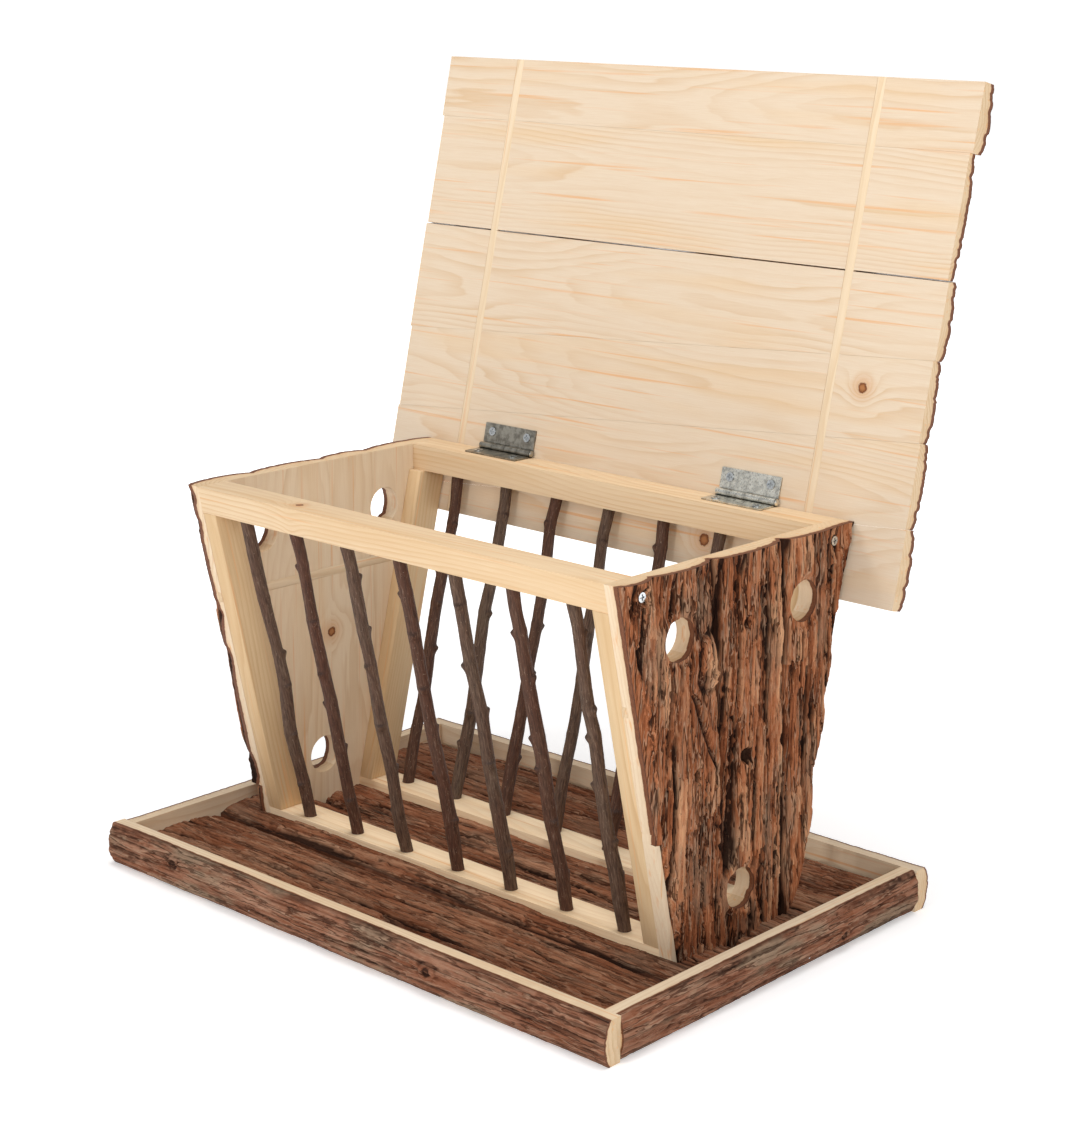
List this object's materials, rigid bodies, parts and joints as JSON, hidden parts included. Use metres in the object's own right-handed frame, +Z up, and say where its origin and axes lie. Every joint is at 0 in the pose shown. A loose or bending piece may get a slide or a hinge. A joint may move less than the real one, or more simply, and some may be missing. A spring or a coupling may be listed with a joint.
{
  "type": "hay rack feeder",
  "caption": "V-shaped hay rack with twig bars between bark-faced end panels, on a shallow bark tray, with a hinged slab-wood lid leaning open.",
  "frame": {"origin": "middle of the tray's underside, on the ground", "axes": "+X along the tray's long rails to the right, +Y to the back where the lid is hinged, +Z up"},
  "size_m": [0.4265, 0.3225, 0.4993],
  "materials": {
    "rail_bark": "rough bark on the outer face, pale sawn pine elsewhere",
    "floor_bark": "rough bark, long fissures",
    "panel_bark": "deeply furrowed bark outside, pale sawn pine inside",
    "pale_pine": "sawn and sanded, unvarnished",
    "honey_pine": "planed, unvarnished",
    "twig_bark": "natural thin bark, matt",
    "zinc_steel": "bright zinc plating",
    "grey_steel": "dull zinc plating",
    "zinc_fasteners": "bright zinc plating"
  },
  "bodies": {
    "rack": {"tray_front_rail": "rail_bark", "tray_back_rail": "rail_bark", "tray_left_rail": "rail_bark", "tray_right_rail": "rail_bark", "tray_floor_slab_1": "floor_bark", "tray_floor_slab_2": "floor_bark", "tray_floor_slab_3": "floor_bark", "tray_floor_slab_4": "floor_bark", "left_panel_slab_1": "panel_bark", "left_panel_slab_2": "panel_bark", "left_panel_slab_3": "panel_bark", "left_panel_slab_4": "panel_bark", "left_panel_key": "pale_pine", "right_panel_slab_1": "panel_bark", "right_panel_slab_2": "panel_bark", "right_panel_slab_3": "panel_bark", "right_panel_slab_4": "panel_bark", "right_panel_key": "pale_pine", "front_top_rail": "honey_pine", "back_top_rail": "honey_pine", "front_bottom_rail": "honey_pine", "back_bottom_rail": "honey_pine", "front_left_post": "honey_pine", "front_right_post": "honey_pine", "back_left_post": "honey_pine", "back_right_post": "honey_pine", "front_twig_1": "twig_bark", "front_twig_2": "twig_bark", "front_twig_3": "twig_bark", "front_twig_4": "twig_bark", "front_twig_5": "twig_bark", "front_twig_6": "twig_bark", "front_twig_7": "twig_bark", "back_twig_1": "twig_bark", "back_twig_2": "twig_bark", "back_twig_3": "twig_bark", "back_twig_4": "twig_bark", "back_twig_5": "twig_bark", "back_twig_6": "twig_bark", "back_twig_7": "twig_bark", "hinge_left_fixed_leaf": "grey_steel", "hinge_right_fixed_leaf": "zinc_steel", "hinge_left_pin": "grey_steel", "hinge_right_pin": "zinc_steel", "hinge_rail_screws": "zinc_fasteners", "panel_screws": "zinc_fasteners", "base_screws": "zinc_fasteners", "tray_nails": "zinc_fasteners"},
    "lid": {"lid_slab_1": "pale_pine", "lid_slab_2": "pale_pine", "lid_slab_3": "pale_pine", "lid_slab_4": "pale_pine", "lid_slab_5": "pale_pine", "lid_slab_6": "pale_pine", "lid_key_left": "pale_pine", "lid_key_right": "pale_pine", "hinge_left_lid_leaf": "grey_steel", "hinge_right_lid_leaf": "zinc_steel", "hinge_lid_screws": "zinc_fasteners"}
  },
  "joints": [
    {"name": "lid_hinge", "type": "hinge", "parent": "rack", "child": "lid", "pos_m": [0, 0.10056, 0.2498], "axis": [1, 0, 0], "range_deg": [0, 104]}
  ]
}
